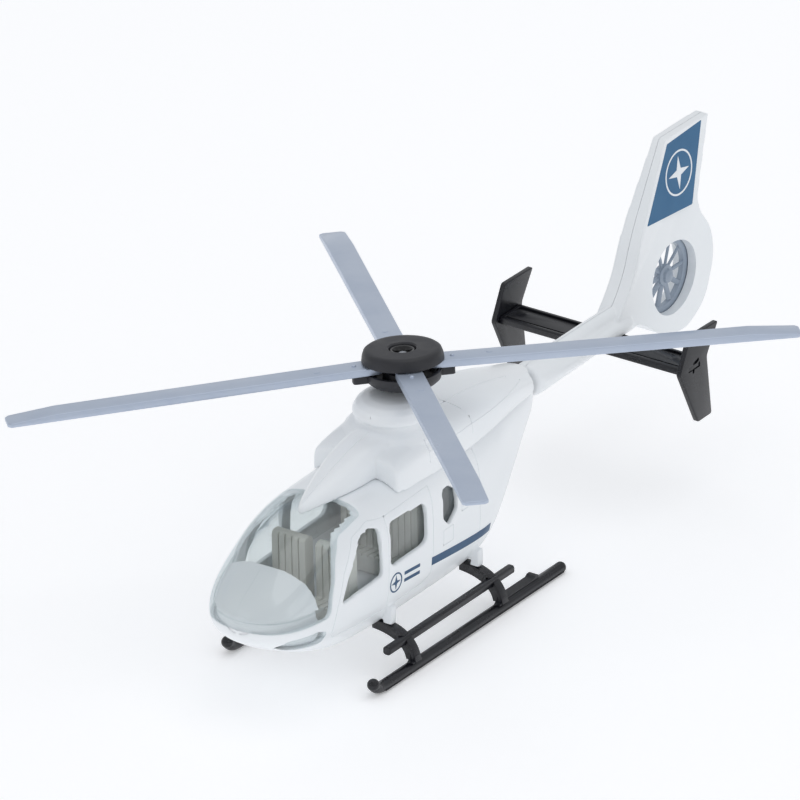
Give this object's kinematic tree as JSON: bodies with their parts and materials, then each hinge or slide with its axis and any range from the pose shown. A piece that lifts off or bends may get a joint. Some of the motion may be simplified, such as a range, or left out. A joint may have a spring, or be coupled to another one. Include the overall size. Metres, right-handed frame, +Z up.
{
  "type": "helicopter scale model",
  "caption": "Toy-scale helicopter with glazed cabin, four-blade rotor that turns and folds, shrouded tail fan, stabiliser with end plates, and skid landing gear.",
  "frame": {"origin": "on the ground plane under the middle of the overall length, in the centre plane of the body", "axes": "+Y from nose to tail, +X to the port side, +Z up"},
  "size_m": [0.148, 0.2126, 0.0842],
  "materials": {
    "body_paint": "gloss",
    "tail_plastic": "gloss",
    "clear_plastic": "polished",
    "black_plastic": "satin",
    "hub_plastic": "matte",
    "blade_plastic": "satin",
    "fan_plastic": "satin",
    "interior_grey": "satin",
    "seat_plastic": "matte",
    "steel": "polished"
  },
  "bodies": {
    "fuselage": {"cabin_shell": "body_paint", "engine_cowling": "body_paint", "belly_pan": "body_paint", "tail_half_left": "tail_plastic", "tail_half_right": "tail_plastic", "windscreen": "clear_plastic", "side_glazing_left": "clear_plastic", "side_glazing_right": "clear_plastic", "chin_window_left": "clear_plastic", "chin_window_right": "clear_plastic", "stabiliser": "black_plastic", "end_plate_left": "black_plastic", "end_plate_right": "black_plastic", "skid_left": "black_plastic", "skid_right": "black_plastic", "step_bar_left": "black_plastic", "step_bar_right": "black_plastic", "front_leg_left": "black_plastic", "front_leg_right": "black_plastic", "rear_leg_left": "black_plastic", "rear_leg_right": "black_plastic", "dash_cover": "interior_grey", "cabin_floor": "interior_grey", "rear_bulkhead": "interior_grey", "front_seat_left": "seat_plastic", "front_seat_right": "seat_plastic", "rear_bench": "seat_plastic", "rotor_rivet": "steel", "belly_screw_front": "steel", "belly_screw_rear": "steel"},
    "rotor_head": {"rotor_dish": "hub_plastic", "rotor_cap": "hub_plastic", "blade_pin_front_left": "steel", "blade_pin_front_right": "steel", "blade_pin_rear_right": "steel", "blade_pin_rear_left": "steel"},
    "fan": {"tail_fan": "fan_plastic"},
    "blade_front_left": {"rotor_blade_front_left": "blade_plastic"},
    "blade_front_right": {"rotor_blade_front_right": "blade_plastic"},
    "blade_rear_right": {"rotor_blade_rear_right": "blade_plastic"},
    "blade_rear_left": {"rotor_blade_rear_left": "blade_plastic"}
  },
  "joints": [
    {"name": "rotor_spin", "type": "hinge", "parent": "fuselage", "child": "rotor_head", "pos_m": [0, -0.0312, 0.0681], "axis": [-0.0959, 0.056, 0.9938], "continuous": true},
    {"name": "fan_spin", "type": "hinge", "parent": "fuselage", "child": "fan", "pos_m": [0, 0.0878, 0.0451], "axis": [1, 0, 0], "continuous": true},
    {"name": "blade_fold_front_left", "type": "hinge", "parent": "rotor_head", "child": "blade_front_left", "pos_m": [0.00552, -0.03693, 0.06896], "axis": [-0.0959, 0.056, 0.9938], "range_deg": [-45, 45]},
    {"name": "blade_fold_front_right", "type": "hinge", "parent": "rotor_head", "child": "blade_front_right", "pos_m": [-0.00565, -0.03686, 0.06787], "axis": [-0.0959, 0.056, 0.9938], "range_deg": [-45, 45]},
    {"name": "blade_fold_rear_right", "type": "hinge", "parent": "rotor_head", "child": "blade_rear_right", "pos_m": [-0.00552, -0.02547, 0.06724], "axis": [-0.0959, 0.056, 0.9938], "range_deg": [-45, 45]},
    {"name": "blade_fold_rear_left", "type": "hinge", "parent": "rotor_head", "child": "blade_rear_left", "pos_m": [0.00565, -0.02554, 0.06833], "axis": [-0.0959, 0.056, 0.9938], "range_deg": [-45, 45]}
  ]
}
